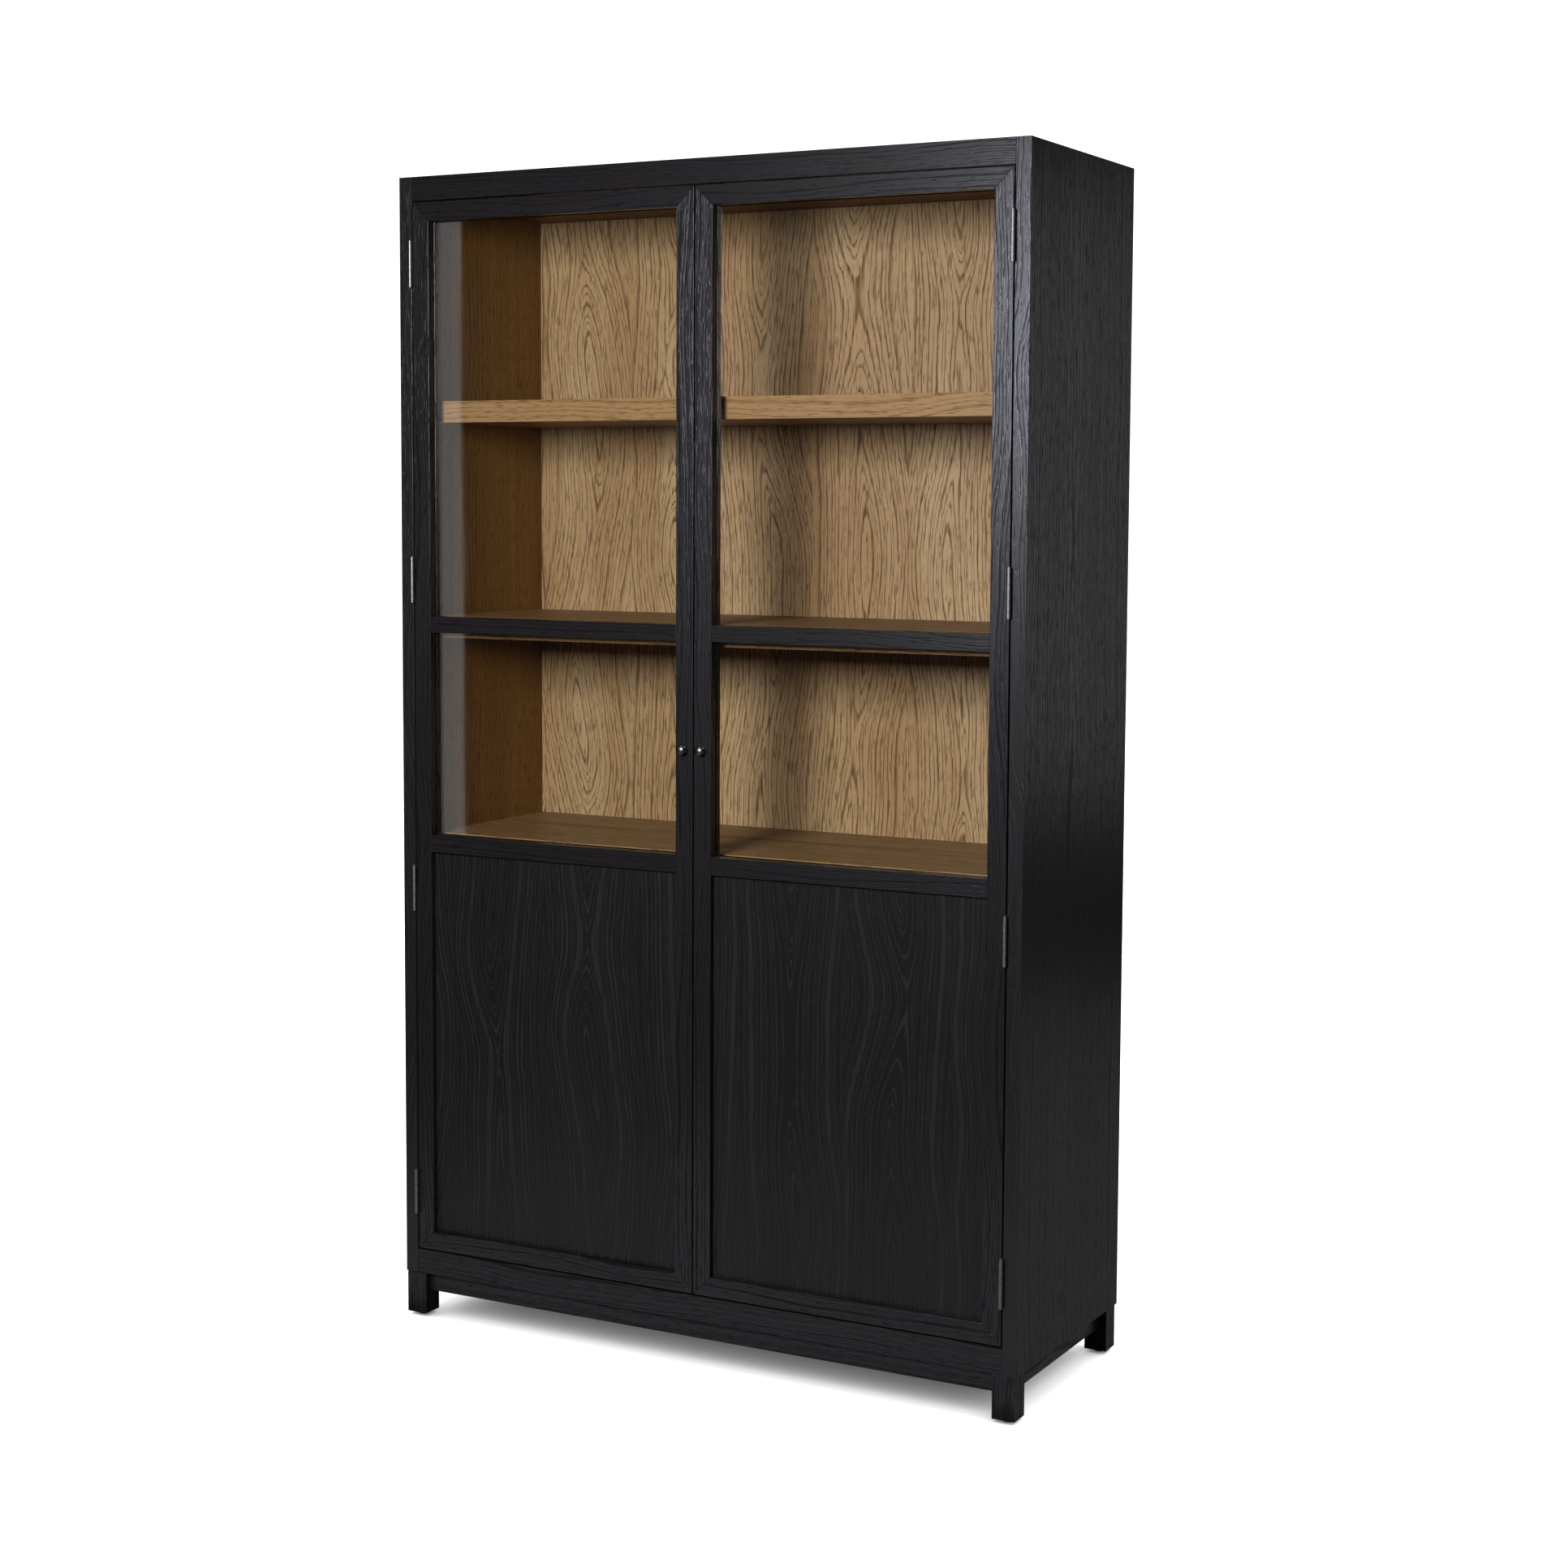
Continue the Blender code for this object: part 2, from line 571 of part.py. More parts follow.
# ---------------------------------------------------------------- the cabinet
def main():
    for leftover in list(bpy.data.objects):
        bpy.data.objects.remove(leftover)
    black = make_material("black_oak", BLACK_OAK, 0.55)
    brown = make_material("brown_oak", BROWN_OAK, 0.50)
    glass = make_material("glass", CLEAR, 0.03, alpha=0.2)
    metal = make_material("dark_iron", IRON, 0.40, metallic=1.0)
    plastic = make_material("glide_plastic", PALE_PLASTIC, 0.50)
    build_case(black, brown)
    build_base(black, plastic)
    build_catch(metal)
    for side, word in ((-1, "left"), (1, "right")):
        build_door(side, word, black, glass, metal)


main()
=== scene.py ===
"""Looks of a tall two-door glazed cabinet: stained and natural oak, glass, dark iron, studio light and camera.

Metres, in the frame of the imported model. Depths are measured back from the case's front face, and side is
-1 for the left half of the cabinet and 1 for the right.
"""

import json
import math

import bmesh
import bpy
from mathutils import Matrix, Vector


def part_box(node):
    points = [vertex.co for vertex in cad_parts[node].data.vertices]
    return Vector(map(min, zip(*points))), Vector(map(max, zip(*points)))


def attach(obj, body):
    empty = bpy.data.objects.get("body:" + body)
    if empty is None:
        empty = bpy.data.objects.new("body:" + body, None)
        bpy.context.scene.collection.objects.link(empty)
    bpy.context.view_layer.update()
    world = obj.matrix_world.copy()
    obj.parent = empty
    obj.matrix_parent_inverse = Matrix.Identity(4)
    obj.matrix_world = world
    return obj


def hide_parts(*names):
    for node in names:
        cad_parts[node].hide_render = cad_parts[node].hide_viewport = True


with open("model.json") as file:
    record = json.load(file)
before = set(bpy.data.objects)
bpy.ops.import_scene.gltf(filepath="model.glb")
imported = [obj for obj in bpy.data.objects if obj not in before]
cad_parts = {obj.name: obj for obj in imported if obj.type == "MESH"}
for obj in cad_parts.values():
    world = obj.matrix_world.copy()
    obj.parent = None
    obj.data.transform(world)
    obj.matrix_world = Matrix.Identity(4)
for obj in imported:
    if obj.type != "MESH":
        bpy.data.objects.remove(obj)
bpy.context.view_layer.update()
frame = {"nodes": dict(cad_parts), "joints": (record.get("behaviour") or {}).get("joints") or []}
NODES = frame["nodes"]
SIDES = ((-1, "left"), (1, "right"))

# ---------------------------------------------------------------- places read from the frame
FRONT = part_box("hinge_stile_left")[0].y
DOOR_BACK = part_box("hinge_stile_left")[1].y
INNER_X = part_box("side_panel_right")[0].x
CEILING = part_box("top_panel")[0].z
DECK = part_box("bottom_panel")[1].z
BACK_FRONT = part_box("back_panel")[0].y
BACK_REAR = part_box("back_panel")[1].y

WHITE = (1.0, 1.0, 1.0, 1.0)


# ---------------------------------------------------------------- node helpers
class Graph:
    """Short calls that add nodes to one material's or world's tree."""

    def __init__(self, tree):
        self.tree = tree

    def put(self, socket, value):
        """Links the socket to value if that is a socket, and sets it otherwise."""
        if isinstance(value, bpy.types.NodeSocket):
            self.tree.links.new(value, socket)
        else:
            socket.default_value = value

    def add(self, kind, inputs=None, **settings):
        node = self.tree.nodes.new(kind)
        for key, value in settings.items():
            setattr(node, key, value)
        for key, value in (inputs or {}).items():
            self.put(node.inputs[key], value)
        return node

    def math(self, operation, first, second=0.0):
        return self.add("ShaderNodeMath", {0: first, 1: second}, operation=operation).outputs[0]

    def plus(self, first, second):
        return self.math("ADD", first, second)

    def minus(self, first, second):
        return self.math("SUBTRACT", first, second)

    def times(self, first, second):
        return self.math("MULTIPLY", first, second)

    def over(self, first, second):
        return self.math("DIVIDE", first, second)

    def scaled(self, vector, scale):
        return self.add("ShaderNodeVectorMath", {0: vector, 1: scale}, operation="MULTIPLY").outputs[0]

    def moved(self, vector, step):
        return self.add("ShaderNodeVectorMath", {0: vector, 1: step}, operation="ADD").outputs[0]

    def length(self, first, second):
        """The length of the vector with these two parts."""
        joined = self.add("ShaderNodeCombineXYZ", {0: first, 1: second}).outputs[0]
        return self.add("ShaderNodeVectorMath", {0: joined}, operation="LENGTH").outputs["Value"]

    def noise(self, vector, detail=2.0, rough=0.5):
        node = self.add("ShaderNodeTexNoise", {"Vector": vector, "Scale": 1.0, "Detail": detail, "Roughness": rough})
        return node.outputs[0]

    def noise_along(self, value, scale, seed, detail=1.0):
        """A noise that only changes along one number."""
        place = self.plus(self.times(value, scale), seed)
        node = self.add("ShaderNodeTexNoise", {"W": place, "Scale": 1.0, "Detail": detail}, noise_dimensions="1D")
        return node.outputs[0]

    def rise(self, value, start, end):
        """0 below start and 1 above end, with a smooth step between. With start above end it falls instead."""
        node = self.add("ShaderNodeMapRange", {0: value, 1: start, 2: end}, interpolation_type="SMOOTHSTEP")
        return node.outputs[0]

    def spread(self, value, low, high):
        """0 to 1 taken to low to high."""
        return self.add("ShaderNodeMapRange", {0: value, 3: low, 4: high}).outputs[0]

    def mix(self, share, first, second):
        """A mix of two colours."""
        node = self.add("ShaderNodeMix", data_type="RGBA")
        for key, value in ((0, share), (6, first), (7, second)):
            self.put(node.inputs[key], value)
        return node.outputs[2]

    def mix_value(self, share, first, second):
        return self.add("ShaderNodeMix", {0: share, 2: first, 3: second}, data_type="FLOAT").outputs[0]

    def object_place(self):
        return self.add("ShaderNodeTexCoord").outputs["Object"]


def new_material(name, diffuse, **sockets):
    """A material with one Principled shader whose sockets are set, the graph to build on, and that shader."""
    made = bpy.data.materials.new(name)
    made.use_nodes = True
    made.diffuse_color = (*diffuse[:3], 1.0)
    shader = made.node_tree.nodes["Principled BSDF"]
    for key, value in sockets.items():
        shader.inputs[key.replace("_", " ")].default_value = value
    return made, Graph(made.node_tree), shader


def rgb(red, green, blue):
    """A linear colour from the 0 to 255 numbers of a paint chart."""
    linear = [((part / 255 + 0.055) / 1.055) ** 2.4 if part > 10 else part / 255 / 12.92
              for part in (red, green, blue)]
    return (*linear, 1.0)


# ---------------------------------------------------------------- oak
# wood, warm and grain colour the body, its cloudy patches and the marks in it. rings and dashes are how strongly
# the growth rings and the short pores are coloured. rough is the roughness between the marks and in them, gloss
# the specular level and relief the bump's strength.
BROWN = dict(wood=rgb(171, 141, 104), grain=rgb(74, 51, 31), warm=rgb(152, 118, 80), rough=(0.44, 0.62),
             rings=0.90, dashes=1.0, gloss=0.32, relief=0.3)
# a darker copy of the back's oak: painted shade on the shelves
SHADED_SHELF_BROWN = dict(BROWN, wood=rgb(142, 110, 75), grain=rgb(80, 56, 32), warm=rgb(140, 106, 68), rings=0.38,
                   gloss=0.25)
# a darker, more saturated copy of the back's oak: painted shade and painted warm bounced light on the case's inner
# sides, ceiling and deck
SHADED_SIDE_BROWN = dict(BROWN, wood=rgb(122, 83, 31), grain=rgb(62, 37, 10), warm=rgb(110, 71, 24), rings=0.45,
                  gloss=0.22)
BLACK = dict(wood=rgb(23, 21, 22), grain=rgb(9, 8, 9), warm=rgb(20, 18, 19), rough=(0.30, 0.42),
             rings=0.75, dashes=1.0, gloss=0.385, relief=0.40)
# its grain colour is paler than the wood: painted glints of light in the pores and rings
PANEL_BLACK = dict(wood=rgb(11, 10, 11), grain=rgb(35, 34, 35), warm=rgb(14, 13, 13), rough=(0.32, 0.44),
                   rings=0.75, dashes=0.5, gloss=0.24, relief=0.15)
# its grain colour is paler than the wood: painted glints of light in the pores and rings
SIDE_BLACK = dict(BLACK, wood=rgb(15, 14, 15), grain=rgb(34, 33, 34), warm=rgb(17, 15, 16), rings=0.6, dashes=0.7)
SHEEN = (0.85, 0.88, 1.0, 1.0)  # the slightly blue tint of the oak's gloss

# which way the grain runs: the names of the axes across, through and along the board
UPRIGHT = "XYZ"
UPRIGHT_SIDE = "YXZ"
LYING = "ZYX"
LYING_SIDE = "ZXY"
LYING_FLAT = "YZX"

SEED_STEP = (0.37, 0.61, 0.83)  # moves the pores and streaks of one board away from the next one's
WANDER, WANDER_SCALE = 0.09, 1.9  # the pith's straying sideways, and its noise's changes a metre
SWING_SCALE = 1.25  # the same for the pith's depth, whose reach is each board's bow
BROAD, BROAD_SCALE = 1.35, (19.0, 19.0, 3.2)  # a ring's unevenness as a share of the rings' spacing
JAGGED, JAGGED_SCALE = 0.60, (120.0, 120.0, 17.0)
YEARS, YEARS_SCALE = 2.2, 0.45  # wide and narrow years
ARCH_POWER, ARCH_SPREAD = 1.5, 0.42  # a power below 2 points the arches
LEAF_STEP = 5.17  # along the board, between the figures of two leaves
WAVE_PERIOD, WAVE_START = 1.4, 1.5
EARLY_WOOD_START, EARLY_WOOD_END = (0.0, 0.08), (0.42, 0.12)  # its sharp and its soft edge, as shares of a ring

PORE_SCALE, STREAK_SCALE, CLOUD_SCALE = (500.0, 500.0, 36.0), (330.0, 330.0, 8.0), (6.0, 6.0, 1.0)
PORES_SHOWN, STREAKS_SHOWN, CLOUDS_SHOWN = (0.57, 0.70), (0.22, 0.60), (0.35, 0.65)  # the noises' steps, 0 to 1
PORES_IN_RINGS = 0.10  # the early wood has more of them
PORES_STRENGTH, LINES_STRENGTH = 0.70, 0.85  # as marks that roughen, dull and dent the wood
STREAK_SHARE = 0.25
MARKS_DULL = 0.9  # the share of the gloss that the marks take away
UPRIGHT_GLOSS, LYING_GLOSS = 0.80, 0.78
UPRIGHT_RELIEF, LYING_RELIEF = 1.0, 0.6
RELIEF_DEEP = 0.0006
ANISOTROPY = 0.30


def grain_space(graph, grain, seed):
    """The surface's own place: as it is, as (across, through, along) of the board, and that moved by a seed."""
    place = graph.object_place()
    parts = graph.add("ShaderNodeSeparateXYZ", {0: place}).outputs
    ordered = [parts[axis] for axis in grain]
    vector = graph.add("ShaderNodeCombineXYZ", dict(enumerate(ordered))).outputs[0]
    return place, ordered, graph.moved(vector, [seed * step for step in SEED_STEP])


def figure_lines(graph, ordered, vector, centre, depth, bow, ring, seed, leaf, stir, wave):
    """Growth rings cut by the board's face: 1 on the porous early wood of each ring, 0 between.

    The pith runs behind the face at a depth that rises and falls along the board, so the rings show as
    arches and ovals about the centre line, and as straight lines beside it.
    """
    across, through, along = ordered
    off_centre = graph.minus(across, centre)
    walk = along
    start = WAVE_START
    if leaf:  # a face of veneer leaves, each with its own middle
        number = graph.math("FLOOR", graph.over(off_centre, leaf))
        off_centre = graph.minus(off_centre, graph.times(number, leaf))
        off_centre = graph.minus(off_centre, leaf / 2)
        walk = graph.plus(along, graph.times(number, LEAF_STEP))
        start = graph.spread(number, WAVE_START + WAVE_PERIOD / 5, WAVE_START)
    wander = graph.minus(graph.noise_along(walk, WANDER_SCALE, seed), 0.5)
    off_centre = graph.plus(off_centre, graph.times(wander, WANDER * stir))
    swing = graph.times(graph.minus(graph.noise_along(walk, SWING_SCALE, seed + 9.0, 2.0), 0.5), bow)
    if wave:  # arches that stand, then hang, with an oval between them
        turns = graph.over(graph.minus(along, start), WAVE_PERIOD / (2 * math.pi))
        swing = graph.plus(swing, graph.times(graph.math("SINE", turns), wave))
    arch = graph.times(graph.math("POWER", graph.math("ABSOLUTE", off_centre), ARCH_POWER), ARCH_SPREAD)
    radius = graph.length(graph.math("SQRT", arch), graph.plus(graph.plus(swing, through), depth))
    broad = graph.noise(graph.scaled(vector, BROAD_SCALE), 1.0)
    jagged = graph.noise(graph.scaled(vector, JAGGED_SCALE), 1.0)
    radius = graph.plus(radius, graph.times(broad, BROAD * ring * stir))
    radius = graph.plus(radius, graph.times(jagged, JAGGED * ring * stir))
    phase = graph.over(radius, ring)
    years = graph.noise_along(phase, YEARS_SCALE, seed + 3.0, 0.0)
    phase = graph.plus(phase, graph.times(years, YEARS))
    saw = graph.math("FRACT", phase)
    return graph.times(graph.rise(saw, *EARLY_WOOD_START), graph.rise(saw, *EARLY_WOOD_END))


def oak(name, palette, grain, centre=0.3, depth=0.12, bow=0.05, ring=0.004, seed=0.0, leaf=0.0, stir=1.0,
        wave=0.0, inside=None, inner=BROWN):
    """Open-pored oak.

    centre and depth place the pith beside and behind the face, bow is its reach in depth along the board, and
    ring is the rings' spacing. leaf is a veneer leaf's width, stir scales the figure's unevenness, and wave is
    the reach of a regular rise and fall. inside is a mask function that turns palette's oak to inner's.
    """
    upright = grain.endswith("Z")
    made, graph, shader = new_material(name, palette["wood"], Specular_Tint=SHEEN)
    place, ordered, vector = grain_space(graph, grain, seed)
    bands = figure_lines(graph, ordered, vector, centre, depth, bow, ring, seed, leaf, stir, wave)
    pores = graph.noise(graph.scaled(vector, PORE_SCALE), 1.0)
    dashes = graph.rise(graph.plus(pores, graph.times(bands, PORES_IN_RINGS)), *PORES_SHOWN)
    streaks = graph.noise(graph.scaled(vector, STREAK_SCALE), 2.0, 0.6)
    clouds = graph.noise(graph.scaled(vector, CLOUD_SCALE), 2.0)
    lines = graph.times(bands, graph.rise(streaks, *STREAKS_SHOWN))
    dashes = graph.times(dashes, PORES_STRENGTH)
    marks = graph.math("MAXIMUM", graph.times(lines, LINES_STRENGTH), dashes)

    def painted(colours):
        body = graph.mix(graph.rise(clouds, *CLOUDS_SHOWN), colours["wood"], colours["warm"])
        body = graph.mix(graph.times(streaks, STREAK_SHARE), body, colours["grain"])
        weight = graph.math("MAXIMUM", graph.times(lines, colours["rings"]), graph.times(dashes, colours["dashes"]))
        return graph.mix(weight, body, colours["grain"])

    colour = painted(palette)
    rough = graph.spread(marks, *palette["rough"])
    dull = graph.minus(1.0, graph.times(marks, MARKS_DULL))
    gloss = graph.times(dull, palette["gloss"] * (UPRIGHT_GLOSS if upright else LYING_GLOSS))
    relief = palette["relief"] * (UPRIGHT_RELIEF if upright else LYING_RELIEF)
    if inside:
        mask = inside(graph, place)
        colour = graph.mix(mask, colour, painted(inner))
        rough = graph.mix_value(mask, rough, graph.spread(marks, *inner["rough"]))
        relief = graph.mix_value(mask, relief, inner["relief"])
    graph.put(shader.inputs["Base Color"], colour)
    graph.put(shader.inputs["Roughness"], rough)
    graph.put(shader.inputs["Specular IOR Level"], gloss)
    height = graph.minus(graph.times(streaks, STREAK_SHARE), marks)
    bump = graph.add("ShaderNodeBump", {"Height": height, "Strength": relief, "Distance": RELIEF_DEEP})
    graph.put(shader.inputs["Normal"], bump.outputs["Normal"])
    if upright:  # the pores' long grooves spread the sheen across the grain, and keep it short along it
        shader.inputs["Anisotropic"].default_value = ANISOTROPY
        facing = graph.add("ShaderNodeNewGeometry").outputs["Normal"]
        across = graph.add("ShaderNodeVectorMath", {0: facing, 1: (0.0, 0.0, 1.0)}, operation="CROSS_PRODUCT")
        graph.put(shader.inputs["Tangent"], across.outputs[0])
    return made


def within(graph, value, low, high):
    """1 where value is between low and high, 0 elsewhere."""
    above = graph.math("GREATER_THAN", value, low)
    below = graph.math("LESS_THAN", value, high)
    return graph.times(above, below)


def box_mask(low, high):
    """A mask function that is 1 inside a box of the cabinet at rest."""
    def mask(graph, place):
        parts = graph.add("ShaderNodeSeparateXYZ", {0: place}).outputs
        spans = [within(graph, parts[axis], low[axis], high[axis]) for axis in range(3)]
        return graph.times(graph.times(spans[0], spans[1]), spans[2])
    return mask


# natural oak shows inside this box, which takes in the case's inner faces and its pin holes
BLACK_LIP = 0.003  # the black stain runs this far behind the doors
PIN_HOLES_DEEP = 0.0140
BACK_SKIN = 0.0010  # the back panel's outer face keeps the stain
FACE_IN = 0.0002  # so that a face on the box's edge counts as inside
INTERIOR = box_mask(
    (-INNER_X - PIN_HOLES_DEEP, DOOR_BACK + BLACK_LIP, DECK - FACE_IN),
    (INNER_X + PIN_HOLES_DEEP, BACK_REAR - BACK_SKIN, CEILING + FACE_IN),
)

# ---------------------------------------------------------------- metal, glass and plastic
PATINA_SCALE, PATINA_SHOWN, PATINA_SHARE = (160.0, 160.0, 160.0), (0.40, 0.66), 0.5
SCRATCH_SCALE, SCRATCH_RELIEF, SCRATCHES_DEEP = (2600.0, 2600.0, 160.0), 0.08, 0.0002
GLASS_INDEX = 1.5
GLASS_TINT = (0.955, 0.965, 0.958, 1.0)
WAVE_SCALE, WAVE_RELIEF, WAVES_DEEP = (2.2, 2.2, 1.3), 0.10, 0.004  # the pane's unevenness
HAZE_SCALE, HAZE_ROUGH = (14.0, 14.0, 9.0), (0.0, 0.05)
DUST_SCALE, DUST_SHOWN, DUST_ROUGH = (420.0, 420.0, 420.0), (0.4, 0.7), (0.4, 0.7)


def metal(name, colour, dull, rough):
    """A metal with cloudy patina and fine scratches."""
    made, graph, shader = new_material(name, colour, Metallic=1.0)
    place = graph.object_place()
    clouds = graph.noise(graph.scaled(place, PATINA_SCALE), 3.0, 0.6)
    rubbed = graph.rise(clouds, *PATINA_SHOWN)
    graph.put(shader.inputs["Base Color"], graph.mix(graph.times(rubbed, PATINA_SHARE), colour, dull))
    scratches = graph.noise(graph.scaled(place, SCRATCH_SCALE), 1.0)
    graph.put(shader.inputs["Roughness"], graph.spread(graph.times(clouds, scratches), *rough))
    bump = graph.add("ShaderNodeBump", {"Height": scratches, "Strength": SCRATCH_RELIEF, "Distance": SCRATCHES_DEEP})
    graph.put(shader.inputs["Normal"], bump.outputs["Normal"])
    return made


def clear_glass():
    """Thin float glass: it lets light straight through and mirrors a share that grows towards grazing angles."""
    made = bpy.data.materials.new("clear_glass")
    made.use_nodes = True
    graph = Graph(made.node_tree)
    made.node_tree.nodes.remove(made.node_tree.nodes["Principled BSDF"])
    place = graph.object_place()
    waves = graph.noise(graph.scaled(place, WAVE_SCALE), 1.0)
    bump = graph.add("ShaderNodeBump", {"Height": waves, "Strength": WAVE_RELIEF, "Distance": WAVES_DEEP})
    haze = graph.noise(graph.scaled(place, HAZE_SCALE), 4.0, 0.65)
    through = graph.add("ShaderNodeBsdfTransparent", {"Color": GLASS_TINT}).outputs[0]
    mirror = graph.add("ShaderNodeBsdfGlossy", {"Color": WHITE, "Normal": bump.outputs["Normal"]})
    graph.put(mirror.inputs["Roughness"], graph.spread(haze, *HAZE_ROUGH))
    # a pane's far face is met from inside with the ray unbent, so it takes the inverse index: no total reflection
    inside = graph.add("ShaderNodeNewGeometry").outputs["Backfacing"]
    index = graph.plus(graph.times(inside, 1 / GLASS_INDEX - GLASS_INDEX), GLASS_INDEX)
    share = graph.add("ShaderNodeFresnel", {"IOR": index}).outputs[0]
    joined = graph.add("ShaderNodeMixShader", {0: share, 1: through, 2: mirror.outputs[0]})
    graph.put(made.node_tree.nodes["Material Output"].inputs["Surface"], joined.outputs[0])
    return made


def plastic(name, colour, dusty):
    """A dull plastic with dust in speckles."""
    made, graph, shader = new_material(name, colour, Specular_IOR_Level=0.4)
    speckle = graph.noise(graph.scaled(graph.object_place(), DUST_SCALE), 3.0)
    graph.put(shader.inputs["Base Color"], graph.mix(graph.rise(speckle, *DUST_SHOWN), colour, dusty))
    graph.put(shader.inputs["Roughness"], graph.spread(speckle, *DUST_ROUGH))
    return made


# ---------------------------------------------------------------- finishes of the CAD nodes
ARRIS, DOOR_ARRIS = 0.0008, 0.0004
WELD_WITHIN = 0.00002
LEAF_COUNT = 6  # veneer leaves across the back


def paint(node, material):
    materials = NODES[node].data.materials
    materials.clear()
    materials.append(material)


def soften_edges(node, width):
    """Rounds a board's arrises a little, so that they catch the light."""
    weld = NODES[node].modifiers.new("weld", "WELD")
    weld.merge_threshold = WELD_WITHIN
    bevel = NODES[node].modifiers.new("arris", "BEVEL")
    bevel.width = width
    bevel.segments = 2
    bevel.limit_method = "ANGLE"
    bevel.angle_limit = math.radians(35)


def finish_wood():
    """Each board's own oak: the seeds follow the names' order."""
    rail = dict(palette=BLACK, centre=0.0, depth=0.20, bow=0.012, ring=0.0046, stir=0.5)
    thick = dict(palette=BLACK, grain=LYING, inside=INTERIOR, inner=SHADED_SIDE_BROWN, depth=0.16, bow=0.014, ring=0.0040,
                 stir=0.45)
    shelf = dict(palette=SHADED_SHELF_BROWN, grain=LYING_FLAT, centre=0.05, bow=0.015, ring=0.0040, stir=0.35)
    plans = {
        "top_panel": dict(thick, centre=2.10),
        "bottom_panel": dict(thick, centre=0.05),
        "back_panel": dict(palette=BLACK, grain=UPRIGHT, inside=INTERIOR, centre=-INNER_X + 0.01,
                           depth=0.012 - BACK_FRONT, bow=0.12, wave=0.062, ring=0.0075,
                           leaf=2 * INNER_X / LEAF_COUNT),
        "upper_shelf_adjustable": dict(shelf, depth=-1.69),
        "mid_shelf_fixed": dict(shelf, depth=-1.28),
        "lower_shelf_fixed": dict(shelf, depth=-0.86),
        "base_shelf_adjustable": dict(shelf, depth=-0.45),
        "apron_front": dict(rail, grain=LYING),
        "apron_rear": dict(rail, grain=LYING),
        "apron_left": dict(rail, grain=LYING_SIDE),
        "apron_right": dict(rail, grain=LYING_SIDE),
    }
    for side, word in SIDES:
        plans[f"side_panel_{word}"] = dict(palette=SIDE_BLACK, grain=UPRIGHT_SIDE, inside=INTERIOR, inner=SHADED_SIDE_BROWN,
                                           centre=-0.02, depth=0.07 - 0.63 * side, bow=0.025, ring=0.0046, stir=0.6)
        for row in ("front", "rear"):
            plans[f"leg_{row}_{word}"] = dict(palette=BLACK, grain=UPRIGHT, centre=0.4, bow=0.012, ring=0.0036,
                                              stir=0.45)
        for stile in ("hinge_stile", "meeting_stile"):
            plans[f"{stile}_{word}"] = dict(palette=BLACK, grain=UPRIGHT, centre=0.33 * side, depth=0.1, bow=0.03,
                                            ring=0.0058, stir=0.7)
        for bar in ("door_top_rail", "door_bottom_rail", "glazing_bar", "lock_rail"):
            plans[f"{bar}_{word}"] = dict(rail, grain=LYING)
        plans[f"retaining_frame_{word}"] = dict(palette=BLACK, grain=UPRIGHT, centre=0.7, ring=0.0036)
        plans[f"door_panel_{word}"] = dict(palette=PANEL_BLACK, grain=UPRIGHT, centre=-0.54, depth=0.27, bow=0.14,
                                           ring=0.0052, leaf=0.21, stir=0.8)
    for number, (node, plan) in enumerate(sorted(plans.items())):
        paint(node, oak(f"oak_{node}", seed=1.7 + 2.39 * number, **plan))
        in_door = node.startswith(("hinge_stile", "meeting_stile", "door_", "glazing_bar", "lock_rail"))
        soften_edges(node, DOOR_ARRIS if in_door else ARRIS)


def finish_hardware():
    iron = metal("dark_iron", rgb(104, 104, 106), rgb(80, 79, 78), (0.42, 0.54))
    pale = plastic("glide_plastic", rgb(214, 210, 202), rgb(188, 184, 176))
    glass = clear_glass()
    for node in NODES:
        if node.startswith(("hinge_case_leaf", "hinge_door_leaf", "knob", "magnetic_catch")):
            paint(node, iron)
        elif node.startswith("glide"):
            paint(node, pale)
        elif node.startswith("glass"):
            paint(node, glass)


# ---------------------------------------------------------------- small hardware that the frame leaves out
INTO_CASE, OUT_OF_CASE = (0, 1, 0), (0, -1, 0)
SCREW_SIDES = 20

HINGE_SCREW_RADIUS = 0.0033
HINGE_SCREW_PROUD = 0.00013  # the two leaves' faces lie 0.4 mm apart when a door is shut
HINGE_SCREW_SUNK = 0.0010
HINGE_SCREW_RISE = 0.031
HINGE_SCREW_DEPTHS = (0.0175, 0.0115, 0.0175)
HINGES_PER_DOOR = 4
LEAF_FACE = 0.0002  # from the hinge's axis to a leaf's face

WASHER = [(0.0062, 0.00005), (0.0062, 0.0005), (0.0058, 0.0008)]  # radius and height
WASHER_SIDES = 28
KNOB_SCREW_RADIUS, KNOB_SCREW_PROUD, KNOB_SCREW_SUNK = 0.0042, 0.0012, 0.0002

STRIP_WIDE = 0.0077
STRIP_SCREW_RADIUS, STRIP_SCREW_PROUD, STRIP_SCREW_SUNK = 0.0016, 0.0003, 0.0006
STRIP_SCREW_ROWS, STRIP_SCREW_COLUMNS = 8, 3  # up each side, and along the top and the bottom

PLATE_NEAR = 0.0035  # from the cabinet's middle
PLATE_SMALLER = 0.0015  # than the catch, at its far end and at its bottom
PLATE_BELOW_TOP = 0.0045  # from the top of the door's rail
PLATE_THICK, PLATE_PROUD = 0.0009, 0.0005  # its middle stands proud of the door's back by the second
PLATE_CORNER, PLATE_ARRIS = 0.0022, 0.0002
PLATE_SCREW_RADIUS, PLATE_SCREW_PROUD, PLATE_SCREW_SUNK = 0.0026, 0.00025, 0.0004

PIN_RADIUS = 0.0023
PIN_DEPTHS = (0.093, 0.400)
PIN_BELOW_TOP = 0.0055

